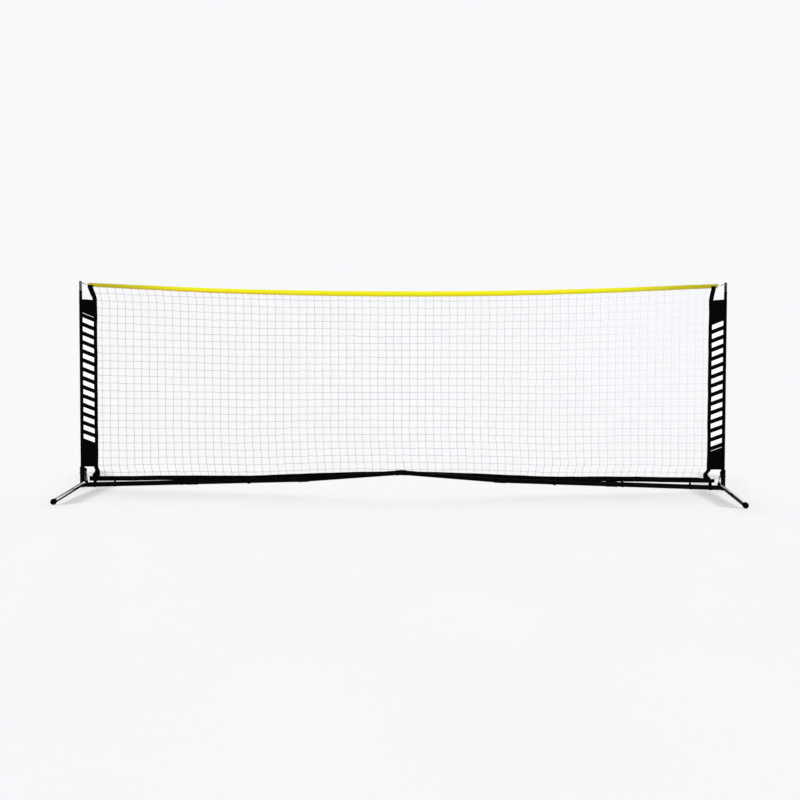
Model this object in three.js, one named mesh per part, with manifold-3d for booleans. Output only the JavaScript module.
// A low portable net for foot tennis and small-court games.
// Two short poles stand in corner fittings at the ends of a sectional base bar. Four swivelling
// legs with ball feet keep the frame upright, and the netting hangs between the poles.
// Units are millimetres. +X runs along the net, +Y points away from the viewer, +Z is up.

import * as THREE from "three";
import { mergeVertices } from "three/addons/utils/BufferGeometryUtils.js";
import Module from "manifold-3d";

const wasm = await Module();
wasm.setup();

// ---- driving dimensions ----------------------------------------------------------------------

const POLE_SPACING = 3000;        // pole axis to pole axis
const POLE_TOP = 972;             // top of the pole above the floor
const POLE_DIAMETER = 12;
const POLE_WALL = 1;
const POLE_FERRULE_LENGTH = 80;
const POLE_CAP_THICKNESS = 2;
const POLE_CAP_PLUG = 14;

const BAR_DIAMETER = 22;
const BAR_WALL = 1;
const BAR_SECTION_LENGTH = 520;    // outer and middle sections; the inner ones take up the rest
const BAR_MIDDLE_RISE = 65;       // how far the taut net lifts the middle joint of the bar
const BAR_INNER_RISE = 30;        // how far it lifts the inner joints
const BAR_END_GAP = 1.6;          // each bar end stays this far from the corner of its joint
const FERRULE_LENGTH = 52;
const FERRULE_WALL = 1.1;

const SOCKET_DIAMETER = 22;
const SOCKET_TOP = 98.6;
const SOCKET_FLOOR_ABOVE_BAR = 9.4; // the pole stands on this floor, this far above the bar
const STUB_LENGTH = 30;           // pole axis to the end of the bar
const SPIGOT_LENGTH = 40;         // what the bar end slides over

const FOOT_DIAMETER = 29;
const FOOT_FLAT_DIAMETER = 10;
const FOOT_BORE_PAST_CENTRE = 2;
const LEG_DIAMETER = 19;
const LEG_WALL = 1.5;
const LEG_REACH = 310;            // pivot axis to foot centre
const LEG_TAIL = 9;               // the forked end of the leg runs this far past the pivot axis
const PIVOT_HEIGHT = 24;          // from here the leg slopes down to its foot
const PIVOT_INBOARD = 10;         // the pivots sit this far inboard of the pole axis
const PIVOT_OUT = 26;             // and this far in front of or behind the net
const FRONT_LEG_ANGLE = { left: 6, right: 2 }; // degrees outward from straight across the net
const REAR_LEG_ANGLE = { left: 19, right: 19 }; // degrees, measured in the same way
const LUG_RADIUS = 9;
const LUG_THICKNESS = 6;
const RIVET_DIAMETER = 6;
const RIVET_HEAD_DIAMETER = 11;
const RIVET_HEAD_HEIGHT = 2.6;

const CLOTH = 1.6;                // thickness of bands and tapes
const BAND_INNER_EDGE = 76;       // pole axis to the inner edge of the side band
const BAND_BELOW_POLE_TOP = 85;
const BAND_ABOVE_SOCKET = 1;
const SLEEVE_BELOW_POLE_TOP = 44;
const SLEEVE_WALL = 0.8;

const TAPE_HEIGHT = 21;           // yellow tape along the top
const TAPE_THICKNESS = 6;
const TAPE_CLOTH = 0.8;
const TAPE_BELOW_POLE_TOP = 55;   // its centre line half way along, below the pole tops
const TAPE_SAG = 38;              // how much lower that is than the ends
const TAPE_END = 36;              // pole axis to the end of the tape
const CORD_DIAMETER = 3;
const CORD_BELOW_POLE_TOP = 10;   // the cord loop round the pole

const HEM_HEIGHT = 20;            // black tape along the bottom
const HEM_ABOVE_BAR = 13.4;       // from the bar up to the hem at both ends of the net
const HEM_LIFT = 24;              // the bar pushes the hem up this far in the middle
const HEM_LIFT_HALF_LENGTH = 700;
const HEM_LIFT_POWER = 1.5;
const HEM_END = 40;
const HEM_BEHIND_PAST_JOINT = 80; // the hem lies behind the bar until this far past the outer joint
const HEM_ABOVE_FROM_POLE = 150;  // and above the bar from this far short of the pole

const BINDING_WIDTH = 20;
const BINDING_THICKNESS = 1.2;
const BINDING_TOP_FLARE = 17;     // how far the binding leans out to the end of the top tape
const BINDING_FLARE_ABOVE_BAND = 5;
const BINDING_BULGE = { left: 8, right: 18 };
const BINDING_BULGE_ABOVE_HEM = 18; // height of the widest place of that bulge

const NET_COLUMNS = 25;           // every third cord of the real netting is modelled
const NET_ROWS = 8;
const NET_CORD_WIDTH = 3.6;
const NET_CORD_DEPTH = 1.6;
const NET_SEAM_GAP = 0.8;         // the curved edges of netting and tapes are stepped differently

const TIE_WIDTH = 13;
const TIE_THICKNESS = 1.2;
const CORNER_TIE_FROM_POLE = 60;
const OUTER_TIE_FROM_POLE = 154;
const MIDDLE_TIE_PAST_JOINT = 52; // past the outer joint of the bar
const INNER_TIE_PAST_LIFT = 15;   // past the end of the lifted stretch of the hem
const LOOP_CORD_DIAMETER = 2.4;
const LOOP_CORD_BELOW_SOCKET_TOP = 28.6;

const GAP = 0.3;                  // clearance between pieces that touch
const FIT = 0.3;                  // radial clearance of parts that slide together
const CUT_PAST = 1;               // cutting shapes run this far past the faces they open

const ROUND = 16;                 // sides of the larger round parts
const SMALL_ROUND = 12;
const CORD_ROUND = 8;
const LENGTH_STEPS = 32;          // steps along the tapes

// ---- worked-out sizes ------------------------------------------------------------------------

const poleX = POLE_SPACING / 2;
const poleRadius = POLE_DIAMETER / 2;
const barRadius = BAR_DIAMETER / 2;
const socketRadius = SOCKET_DIAMETER / 2;
const footRadius = FOOT_DIAMETER / 2;
const legRadius = LEG_DIAMETER / 2;
const footHeight = Math.sqrt(footRadius ** 2 - (FOOT_FLAT_DIAMETER / 2) ** 2);
const barEndHeight = footHeight;
const barEndTop = barEndHeight + barRadius;
const outerJointX = poleX - BAR_SECTION_LENGTH;
const innerJointX = outerJointX - BAR_SECTION_LENGTH;
const socketFloor = barEndTop + SOCKET_FLOOR_ABOVE_BAR;
const poleJoint = (socketFloor + POLE_TOP) / 2;
const legSlope = Math.asin((PIVOT_HEIGHT - footHeight) / LEG_REACH);
const rivetRadius = RIVET_DIAMETER / 2;
const rivetHeadRadius = RIVET_HEAD_DIAMETER / 2;
const rivetGrip = legRadius / Math.cos(legSlope) + rivetHeadRadius * Math.tan(legSlope) + GAP;
const lugTop = PIVOT_HEIGHT + LUG_THICKNESS / 2;
const lugBottom = PIVOT_HEIGHT - LUG_THICKNESS / 2;
const bandInnerX = poleX - BAND_INNER_EDGE;
const tapeEndX = poleX - TAPE_END;
const tapeMiddle = POLE_TOP - TAPE_BELOW_POLE_TOP;
const cordOnPole = POLE_TOP - CORD_BELOW_POLE_TOP;
const sleeveTop = POLE_TOP - SLEEVE_BELOW_POLE_TOP;
const bandTop = POLE_TOP - BAND_BELOW_POLE_TOP;
const bandBottom = SOCKET_TOP + BAND_ABOVE_SOCKET;
const hemEndX = poleX - HEM_END;
const hemEndTop = barEndTop + HEM_ABOVE_BAR + HEM_HEIGHT;
const hemBehindX = outerJointX + HEM_BEHIND_PAST_JOINT;
const hemAboveX = poleX - HEM_ABOVE_FROM_POLE;
const bindingFlareStart = bandTop + BINDING_FLARE_ABOVE_BAND;
const bindingBulgeHeight = hemEndTop + BINDING_BULGE_ABOVE_HEM;
const ferruleRadius = barRadius + FIT + FERRULE_WALL;
const hemOffset = ferruleRadius + GAP + CLOTH / 2;
const tiePlaces = {
  corner: poleX - CORNER_TIE_FROM_POLE,
  outer: poleX - OUTER_TIE_FROM_POLE,
  middle: outerJointX + MIDDLE_TIE_PAST_JOINT,
  inner: HEM_LIFT_HALF_LENGTH + INNER_TIE_PAST_LIFT,
};

// ---- materials -------------------------------------------------------------------------------

function finish(color, roughness, metalness) {
  return new THREE.MeshStandardMaterial({ color, roughness, metalness });
}

const chrome = finish(0xd8dadd, 0.18, 1);
const steel = finish(0x8f8d92, 0.4, 0.9);
const blackPaint = finish(0x111113, 0.45, 0.2);
const blackPlastic = finish(0x0c0c0e, 0.5, 0);
const blackFabric = finish(0x0d0d0f, 0.85, 0);
const yellowFabric = finish(0xe2cc1c, 0.75, 0);
const netCord = finish(0x8c9096, 0.9, 0);
const greyCord = finish(0xb9b6b4, 0.8, 0);
const blackCord = finish(0x101012, 0.8, 0);

// ---- helpers ---------------------------------------------------------------------------------

const net = new THREE.Group();

function addPart(name, geometry, material) {
  const mesh = new THREE.Mesh(geometry, material);
  mesh.name = name;
  net.add(mesh);
  return mesh;
}

// Keeps only merged positions, so that the surface is one closed mesh.
function closed(geometry) {
  geometry.deleteAttribute("normal");
  geometry.deleteAttribute("uv");
  return mergeVertices(geometry, 1e-4);
}

function toSolid(geometry) {
  const merged = closed(geometry.clone());
  const vertProperties = new Float32Array(merged.attributes.position.array);
  const triVerts = new Uint32Array(merged.index.array);
  return new wasm.Manifold(new wasm.Mesh({ numProp: 3, vertProperties, triVerts }));
}

function toGeometry(solid) {
  const mesh = solid.getMesh();
  const geometry = new THREE.BufferGeometry();
  geometry.setAttribute("position", new THREE.BufferAttribute(mesh.vertProperties, 3));
  geometry.setIndex(new THREE.BufferAttribute(mesh.triVerts, 1));
  return geometry;
}

function join(...geometries) {
  return toGeometry(geometries.map(toSolid).reduce((sum, solid) => sum.add(solid)));
}

function cut(geometry, ...tools) {
  return toGeometry(tools.map(toSolid).reduce((rest, tool) => rest.subtract(tool), toSolid(geometry)));
}

// A box given by its two corners.
function boxBetween(low, high) {
  const size = high.map((value, axis) => value - low[axis]);
  const middle = high.map((value, axis) => (value + low[axis]) / 2);
  return new THREE.BoxGeometry(...size).translate(...middle);
}

// A round bar from point a to point b, or a tube when innerRadius is given.
function rodBetween(a, b, radius, innerRadius = 0, sides = ROUND) {
  const start = new THREE.Vector3(...a);
  const along = new THREE.Vector3(...b).sub(start);
  const length = along.length();
  const outline = [
    new THREE.Vector2(innerRadius, 0),
    new THREE.Vector2(radius, 0),
    new THREE.Vector2(radius, length),
    new THREE.Vector2(innerRadius, length),
  ];
  if (innerRadius > 0) {
    outline.push(outline[0].clone());
  }
  const geometry = new THREE.LatheGeometry(outline, sides);
  const turn = new THREE.Quaternion().setFromUnitVectors(new THREE.Vector3(0, 1, 0), along.normalize());
  return geometry.applyQuaternion(turn).translate(...a);
}

function circlePoints(radius, sides, centreUp = 0) {
  return new THREE.EllipseCurve(0, centreUp, radius, radius).getPoints(sides).slice(0, -1);
}

// A section drawn in (Y, Z) that runs along X from -halfLength to halfLength and follows place(x).
function sectionAlongX(section, halfLength, steps, place) {
  const geometry = new THREE.ExtrudeGeometry(section, {
    depth: 2 * halfLength, steps, bevelEnabled: false,
  });
  const points = geometry.attributes.position;
  for (let i = 0; i < points.count; i += 1) {
    const x = points.getZ(i) - halfLength;
    const shift = place(x);
    points.setXYZ(i, x, points.getX(i) + shift.y, points.getY(i) + shift.z);
  }
  return closed(geometry);
}

// The outline of a convex set of points in order round it.
function convexOutline(points) {
  const sorted = [...points].sort((p, q) => p.x - q.x || p.y - q.y);
  const chain = (list) => {
    const result = [];
    for (const point of list) {
      while (result.length > 1) {
        const [before, last] = result.slice(-2);
        const turn = (last.x - before.x) * (point.y - before.y) - (last.y - before.y) * (point.x - before.x);
        if (turn > 0) {
          break;
        }
        result.pop();
      }
      result.push(point);
    }
    return result.slice(0, -1);
  };
  return [...chain(sorted), ...chain(sorted.reverse())];
}

const smooth = (t) => {
  const s = Math.min(1, Math.max(0, t));
  return s * s * (3 - 2 * s);
};

const mirrorName = (side) => (side < 0 ? "left" : "right");

// ---- lines that the net and the bar follow ---------------------------------------------------

// Centre line of the base bar: straight sections between joints that the net has lifted.
function barHeight(x) {
  const distance = Math.abs(x);
  if (distance > innerJointX) {
    const t = (poleX - distance) / (poleX - innerJointX);
    return barEndHeight + BAR_INNER_RISE * t;
  }
  const t = 1 - distance / innerJointX;
  return barEndHeight + BAR_INNER_RISE + (BAR_MIDDLE_RISE - BAR_INNER_RISE) * t;
}

function tapeHeight(x) {
  return tapeMiddle + TAPE_SAG * (x / tapeEndX) ** 2;
}

function hemTop(x) {
  const t = Math.min(1, Math.abs(x) / HEM_LIFT_HALF_LENGTH);
  return hemEndTop + HEM_LIFT * (1 - t ** HEM_LIFT_POWER);
}

// The hem passes behind the bar where the bar has been lifted up to it.
function hemBehind(x) {
  return hemOffset * smooth((hemAboveX - Math.abs(x)) / (hemAboveX - hemBehindX));
}

// Inner edge of the side binding at height z, as a distance from the middle of the net.
function bindingInnerX(sideName, z) {
  if (z > bindingFlareStart) {
    const top = tapeHeight(tapeEndX) - TAPE_HEIGHT / 2;
    return bandInnerX + BINDING_TOP_FLARE * Math.min(1, (z - bindingFlareStart) / (top - bindingFlareStart));
  }
  if (z < bandBottom) {
    const reach = bandBottom - bindingBulgeHeight;
    const t = Math.abs(z - bindingBulgeHeight) / reach;
    return bandInnerX - BINDING_BULGE[sideName] * (1 - smooth(t));
  }
  return bandInnerX;
}

// ---- poles -----------------------------------------------------------------------------------

function addPole(side) {
  const name = mirrorName(side);
  const x = side * poleX;
  const bore = poleRadius - POLE_WALL;
  const tubeTop = POLE_TOP - POLE_CAP_THICKNESS - GAP;
  addPart(`${name}_pole_lower`,
    rodBetween([x, 0, socketFloor + GAP], [x, 0, poleJoint], poleRadius, bore), steel);
  addPart(`${name}_pole_upper`,
    rodBetween([x, 0, poleJoint + GAP], [x, 0, tubeTop], poleRadius, bore), steel);
  addPart(`${name}_pole_ferrule`,
    rodBetween([x, 0, poleJoint - POLE_FERRULE_LENGTH / 2], [x, 0, poleJoint + POLE_FERRULE_LENGTH / 2],
      bore - FIT, 0, SMALL_ROUND), steel);
  const cap = join(
    rodBetween([x, 0, tubeTop + GAP], [x, 0, POLE_TOP], poleRadius),
    rodBetween([x, 0, tubeTop - POLE_CAP_PLUG], [x, 0, POLE_TOP - POLE_CAP_THICKNESS / 2], bore - FIT));
  addPart(`${name}_pole_cap`, cap, blackPlastic);
}

// ---- base bar --------------------------------------------------------------------------------

// A point on the bar's centre line.
const onBar = (x) => [x, 0, barHeight(x)];

// A section from one end to the other.
function addBarSection(name, from, to) {
  addPart(name, rodBetween(onBar(from), onBar(to), barRadius, barRadius - BAR_WALL), blackPaint);
}

// A sleeve over two bar ends, bent where the bar is bent.
function addFerrule(name, x) {
  const section = new THREE.Shape(circlePoints(ferruleRadius, ROUND));
  section.holes.push(new THREE.Path(circlePoints(barRadius + FIT, ROUND)));
  const place = (along) => ({ y: 0, z: barHeight(x + along) });
  addPart(name, sectionAlongX(section, FERRULE_LENGTH / 2, 2, place).translate(x, 0, 0), blackPlastic);
}

function addBaseBar() {
  for (const side of [-1, 1]) {
    const name = mirrorName(side);
    const stations = [poleX - STUB_LENGTH - GAP, outerJointX, innerJointX, 0];
    const names = ["outer", "middle", "inner"];
    names.forEach((place, i) => {
      const from = i === 0 ? stations[0] : stations[i] - BAR_END_GAP;
      const to = stations[i + 1] + BAR_END_GAP;
      addBarSection(`${name}_${place}_bar`, side * from, side * to);
    });
    addFerrule(`${name}_outer_ferrule`, side * outerJointX);
    addFerrule(`${name}_inner_ferrule`, side * innerJointX);
  }
  addFerrule("middle_ferrule", 0);
}

// ---- corner fittings, legs and feet ----------------------------------------------------------

function addCornerFitting(side) {
  const x = side * poleX;
  const pivotX = side * (poleX - PIVOT_INBOARD);
  const bottom = barEndHeight - barRadius;
  const socket = rodBetween([x, 0, bottom], [x, 0, SOCKET_TOP], socketRadius);
  const stub = rodBetween(onBar(x), onBar(side * (poleX - STUB_LENGTH)), barRadius);
  const spigot = rodBetween(onBar(x), onBar(side * (poleX - STUB_LENGTH - SPIGOT_LENGTH)),
    barRadius - BAR_WALL - FIT);
  const lugs = [-1, 1].map((way) => {
    const plate = boxBetween(
      [pivotX - LUG_RADIUS, Math.min(0, way * PIVOT_OUT), lugBottom],
      [pivotX + LUG_RADIUS, Math.max(0, way * PIVOT_OUT), lugTop]);
    const pivotY = way * PIVOT_OUT;
    const end = rodBetween([pivotX, pivotY, lugBottom], [pivotX, pivotY, lugTop], LUG_RADIUS);
    return join(plate, end);
  });
  const rivetHoles = [-1, 1].map((way) => rodBetween(
    [pivotX, way * PIVOT_OUT, lugBottom - CUT_PAST], [pivotX, way * PIVOT_OUT, lugTop + CUT_PAST],
    rivetRadius + FIT, 0, SMALL_ROUND));
  const poleBore = rodBetween([x, 0, socketFloor], [x, 0, SOCKET_TOP + CUT_PAST], poleRadius + FIT);
  const body = join(socket, stub, spigot, ...lugs);
  addPart(`${mirrorName(side)}_corner_fitting`, cut(body, poleBore, ...rivetHoles), blackPlastic);
}

// The leg, foot and rivet are drawn with the pivot at the origin and the leg above local +X, sloping
// down. Its end is a fork: a level slot takes the lug, and the rivet goes through all three.
function legGeometry() {
  const end = LEG_REACH + FOOT_BORE_PAST_CENTRE - GAP;
  const tube = rodBetween([-LEG_TAIL, 0, 0], [end, 0, 0], legRadius, legRadius - LEG_WALL);
  const slotHalf = LUG_THICKNESS / 2 + GAP;
  const slot = boxBetween(
    [-LEG_TAIL - LEG_DIAMETER, -LEG_DIAMETER, -slotHalf], [LUG_RADIUS + FIT, LEG_DIAMETER, slotHalf]);
  const hole = rodBetween([0, 0, -LEG_DIAMETER], [0, 0, LEG_DIAMETER], rivetRadius + FIT, 0, SMALL_ROUND);
  return cut(tube.rotateY(legSlope), slot, hole);
}

function footGeometry() {
  const ball = new THREE.SphereGeometry(footRadius, ROUND, SMALL_ROUND);
  ball.rotateZ(-Math.PI / 2).translate(LEG_REACH, 0, 0).rotateY(legSlope);
  const bore = rodBetween([LEG_REACH - FOOT_DIAMETER, 0, 0], [LEG_REACH + FOOT_BORE_PAST_CENTRE, 0, 0],
    legRadius + FIT).rotateY(legSlope);
  const below = boxBetween(
    [LEG_REACH - FOOT_DIAMETER, -FOOT_DIAMETER, -PIVOT_HEIGHT - FOOT_DIAMETER],
    [LEG_REACH + FOOT_DIAMETER, FOOT_DIAMETER, -PIVOT_HEIGHT]);
  return cut(ball, bore, below);
}

function rivetGeometry() {
  const shoulder = rivetHeadRadius * 0.8;
  const outline = [
    [0, -rivetGrip - RIVET_HEAD_HEIGHT], [rivetHeadRadius, -rivetGrip - RIVET_HEAD_HEIGHT],
    [rivetHeadRadius, -rivetGrip], [rivetRadius, -rivetGrip], [rivetRadius, rivetGrip],
    [rivetHeadRadius, rivetGrip], [shoulder, rivetGrip + RIVET_HEAD_HEIGHT * 0.7],
    [0, rivetGrip + RIVET_HEAD_HEIGHT],
  ];
  const geometry = new THREE.LatheGeometry(outline.map(([r, z]) => new THREE.Vector2(r, z)), SMALL_ROUND);
  return geometry.rotateX(Math.PI / 2);
}

function addLeg(side, way) {
  const sideName = mirrorName(side);
  const endName = way < 0 ? "front" : "rear";
  const spread = (way < 0 ? FRONT_LEG_ANGLE : REAR_LEG_ANGLE)[sideName];
  const heading = Math.atan2(
    way * Math.cos(THREE.MathUtils.degToRad(spread)),
    side * Math.sin(THREE.MathUtils.degToRad(spread)));
  const parts = {
    leg: addPart(`${sideName}_${endName}_leg`, legGeometry(), chrome),
    foot: addPart(`${sideName}_${endName}_foot`, footGeometry(), blackPlastic),
    rivet: addPart(`${sideName}_${endName}_rivet`, rivetGeometry(), steel),
  };
  for (const part of Object.values(parts)) {
    part.position.set(side * (poleX - PIVOT_INBOARD), way * PIVOT_OUT, PIVOT_HEIGHT);
    part.rotation.z = heading;
  }
  parts.rivet.rotation.z = 0;
}

// ---- side bands and bindings -----------------------------------------------------------------

// The band is one cloth: a sleeve sewn round the pole and a flat panel towards the netting.
function addSideBand(side) {
  const x = side * poleX;
  const inner = poleRadius + FIT;
  const outer = inner + SLEEVE_WALL;
  const sleeve = rodBetween([x, 0, bandBottom], [x, 0, sleeveTop], outer);
  const panel = boxBetween(
    [Math.min(x, side * bandInnerX), -CLOTH / 2, bandBottom],
    [Math.max(x, side * bandInnerX), CLOTH / 2, bandTop]);
  const bore = rodBetween([x, 0, bandBottom - CUT_PAST], [x, 0, sleeveTop + CUT_PAST], inner);
  addPart(`${mirrorName(side)}_side_band`, cut(join(sleeve, panel), bore), blackFabric);
}

// The binding is sewn behind the inner edge of the band and carries on to both tapes.
function addSideBinding(side) {
  const name = mirrorName(side);
  const bottom = hemEndTop + GAP;
  const top = tapeHeight(tapeEndX - BINDING_WIDTH) - TAPE_HEIGHT / 2 - GAP;
  const lowSteps = 6;
  const heights = [];
  for (let i = 0; i <= lowSteps; i += 1) {
    heights.push(bottom + (bandBottom - bottom) * i / lowSteps);
  }
  heights.push(bindingFlareStart, top);
  const innerEdge = heights.map((z) => new THREE.Vector2(side * bindingInnerX(name, z), z));
  const outerX = (z) => side * (bindingInnerX(name, z) + BINDING_WIDTH);
  const outerEdge = heights.map((z) => new THREE.Vector2(outerX(z), z));
  const outline = new THREE.Shape([...innerEdge, ...outerEdge.reverse()]);
  const geometry = new THREE.ExtrudeGeometry(outline, { depth: BINDING_THICKNESS, bevelEnabled: false });
  geometry.rotateX(Math.PI / 2).translate(0, CLOTH / 2 + GAP + BINDING_THICKNESS, 0);
  addPart(`${name}_side_binding`, closed(geometry), blackFabric);
}

// ---- top tape, headline cord and hem ---------------------------------------------------------

function tapeOutline(thickness, height) {
  const y = thickness / 2;
  const z = height / 2;
  const corners = [[y, -0.5 * z], [y, 0.5 * z], [0, z], [-y, 0.5 * z], [-y, -0.5 * z], [0, -z]];
  return corners.map(([across, up]) => new THREE.Vector2(across, up));
}

function addTopTape() {
  const section = new THREE.Shape(tapeOutline(TAPE_THICKNESS, TAPE_HEIGHT));
  const inside = tapeOutline(TAPE_THICKNESS - 2 * TAPE_CLOTH, TAPE_HEIGHT - 4 * TAPE_CLOTH);
  section.holes.push(new THREE.Path(inside));
  const place = (x) => ({ y: 0, z: tapeHeight(x) });
  addPart("top_tape", sectionAlongX(section, tapeEndX, LENGTH_STEPS, place), yellowFabric);
}

// One cord from pole to pole, through the top tape, with a loop round each pole.
function addHeadline() {
  const radius = CORD_DIAMETER / 2;
  const loopRadius = poleRadius + FIT + radius;
  const lineEnd = poleX - loopRadius;
  const place = (x) => {
    const past = Math.max(0, Math.abs(x) - tapeEndX) / (lineEnd - tapeEndX);
    const inTape = tapeHeight(Math.min(Math.abs(x), tapeEndX));
    return { y: 0, z: inTape + (cordOnPole - inTape) * past };
  };
  const section = new THREE.Shape(circlePoints(radius, CORD_ROUND));
  const line = sectionAlongX(section, lineEnd, LENGTH_STEPS, place);
  const loops = [-1, 1].map((side) => new THREE.TorusGeometry(loopRadius, radius, CORD_ROUND, ROUND)
    .translate(side * poleX, 0, cordOnPole));
  addPart("headline_cord", join(line, ...loops), greyCord);
}

function addHem() {
  const section = new THREE.Shape([
    new THREE.Vector2(-CLOTH / 2, -HEM_HEIGHT), new THREE.Vector2(CLOTH / 2, -HEM_HEIGHT),
    new THREE.Vector2(CLOTH / 2, 0), new THREE.Vector2(-CLOTH / 2, 0),
  ]);
  const place = (x) => ({ y: hemBehind(x), z: hemTop(x) });
  addPart("bottom_tape", sectionAlongX(section, hemEndX, LENGTH_STEPS, place), blackFabric);
}

// ---- netting ---------------------------------------------------------------------------------

// Maps a point of the flat net, with u from -1 to 1 along it and v from 0 to 1 up it, onto the
// space between the tapes, so that every cord follows the sag above and the lifted hem below.
function netPoint(u, v, depth) {
  const flatX = u * bandInnerX;
  const top = tapeHeight(flatX) - TAPE_HEIGHT / 2 - NET_SEAM_GAP;
  const bottom = hemTop(flatX) + NET_SEAM_GAP;
  const z = bottom + (top - bottom) * v;
  const x = u * (bindingInnerX(mirrorName(u), z) - GAP);
  return [x, hemBehind(flatX) * (1 - v) + depth, z];
}

// Where the cords of one direction begin and end, as shares of the whole, with any extra stations.
function cordStations(meshes, cordShare, extra = []) {
  const stations = [0, cordShare, 1 - cordShare, 1, ...extra];
  for (let i = 1; i < meshes; i += 1) {
    stations.push((i / meshes) - cordShare / 2, (i / meshes) + cordShare / 2);
  }
  return stations.sort((a, b) => a - b);
}

// Which of the intervals between the stations are cord, as against open mesh.
function cordIntervals(stations, meshes, cordShare) {
  return stations.slice(1).map((station, i) => {
    const share = (station + stations[i]) / 2;
    const nearest = Math.round(share * meshes) / meshes;
    const reach = nearest === 0 || nearest === 1 ? cordShare : cordShare / 2;
    return Math.abs(share - nearest) < reach;
  });
}

function addNetting() {
  const shareAcross = NET_CORD_WIDTH / (2 * bandInnerX);
  const netBottom = netPoint(1, 0, 0)[2];
  const netTop = netPoint(1, 1, 0)[2];
  const shareUp = NET_CORD_WIDTH / (netTop - netBottom);
  const edgeBends = [bindingBulgeHeight, bandBottom, bindingFlareStart]
    .map((z) => (z - netBottom) / (netTop - netBottom));
  const across = cordStations(NET_COLUMNS, shareAcross);
  const up = cordStations(NET_ROWS, shareUp, edgeBends);
  const columnIsCord = cordIntervals(across, NET_COLUMNS, shareAcross);
  const rowIsCord = cordIntervals(up, NET_ROWS, shareUp);
  const positions = [];
  for (const depth of [-NET_CORD_DEPTH / 2, NET_CORD_DEPTH / 2]) {
    for (const v of up) {
      for (const share of across) {
        positions.push(...netPoint(2 * share - 1, v, depth));
      }
    }
  }
  const indices = [];
  const front = (i, j) => j * across.length + i;
  const back = (i, j) => front(i, j) + across.length * up.length;
  const isCord = (i, j) => {
    const inside = i >= 0 && j >= 0 && i < columnIsCord.length && j < rowIsCord.length;
    return inside && (columnIsCord[i] || rowIsCord[j]);
  };
  const addQuad = (a, b, c, d) => indices.push(a, b, c, a, c, d);
  const addWall = (i, j, k, l) => addQuad(front(i, j), back(i, j), back(k, l), front(k, l));
  for (let j = 0; j < rowIsCord.length; j += 1) {
    for (let i = 0; i < columnIsCord.length; i += 1) {
      if (isCord(i, j)) {
        addQuad(front(i, j), front(i + 1, j), front(i + 1, j + 1), front(i, j + 1));
        addQuad(back(i, j), back(i, j + 1), back(i + 1, j + 1), back(i + 1, j));
        const walls = [
          [i, j - 1, i, j, i + 1, j], [i + 1, j, i + 1, j, i + 1, j + 1],
          [i, j + 1, i + 1, j + 1, i, j + 1], [i - 1, j, i, j + 1, i, j],
        ];
        for (const [nextI, nextJ, ...ends] of walls) {
          if (!isCord(nextI, nextJ)) {
            addWall(...ends);
          }
        }
      }
    }
  }
  const geometry = new THREE.BufferGeometry();
  geometry.setAttribute("position", new THREE.Float32BufferAttribute(positions, 3));
  geometry.setIndex(indices);
  addPart("netting", geometry, netCord);
}

// ---- ties and corner cords -------------------------------------------------------------------

// A strap sewn to both faces of the hem that passes under the bar.
function addTie(side, place) {
  const x = side * tiePlaces[place];
  const barZ = barHeight(x);
  const hemY = hemBehind(x);
  const hemZ = hemTop(x);
  const outlineAt = (spare) => {
    const ring = circlePoints(barRadius + spare, ROUND, barZ);
    const half = CLOTH / 2 + spare;
    const hem = [[-half, -HEM_HEIGHT], [half, -HEM_HEIGHT], [half, spare], [-half, spare]]
      .map(([across, up]) => new THREE.Vector2(hemY + across, hemZ + up));
    return convexOutline([...ring, ...hem]);
  };
  const strap = new THREE.Shape(outlineAt(2 * GAP + TIE_THICKNESS));
  strap.holes.push(new THREE.Path(outlineAt(2 * GAP)));
  const loop = sectionAlongX(strap, TIE_WIDTH / 2, 1, () => ({ y: 0, z: 0 }));
  const sewnBelow = hemZ - HEM_HEIGHT / 3;
  const above = boxBetween([-TIE_WIDTH, -2 * BAR_DIAMETER, sewnBelow],
    [TIE_WIDTH, 2 * BAR_DIAMETER, hemZ + BAR_DIAMETER]);
  const tie = cut(loop, above);
  addPart(`${mirrorName(side)}_${place}_tie`, tie.translate(x, 0, 0), blackFabric);
}

// A thin cord from the end of the hem to a loop round the corner fitting.
function addCornerCord(side) {
  const radius = LOOP_CORD_DIAMETER / 2;
  const ringRadius = socketRadius + FIT + radius;
  const height = SOCKET_TOP - LOOP_CORD_BELOW_SOCKET_TOP;
  const ring = new THREE.TorusGeometry(ringRadius, radius, CORD_ROUND, ROUND)
    .translate(side * poleX, 0, height);
  const start = [side * (poleX - ringRadius), 0, height];
  const end = [side * (hemEndX + radius + GAP), 0, hemEndTop - HEM_HEIGHT / 2];
  const line = rodBetween(start, end, radius, 0, CORD_ROUND);
  addPart(`${mirrorName(side)}_corner_cord`, join(ring, line), blackCord);
}

// ---- assembly --------------------------------------------------------------------------------

addBaseBar();
for (const side of [-1, 1]) {
  addPole(side);
  addCornerFitting(side);
  addSideBand(side);
  addSideBinding(side);
  addCornerCord(side);
  addLeg(side, -1);
  addLeg(side, 1);
  for (const place of Object.keys(tiePlaces)) {
    addTie(side, place);
  }
}
addTopTape();
addHeadline();
addHem();
addNetting();

// The origin is on the floor, under the middle of the box that the whole object fills.
const bounds = new THREE.Box3().setFromObject(net);
const middle = bounds.getCenter(new THREE.Vector3());
net.position.set(-middle.x, -middle.y, -bounds.min.z);

export default net;
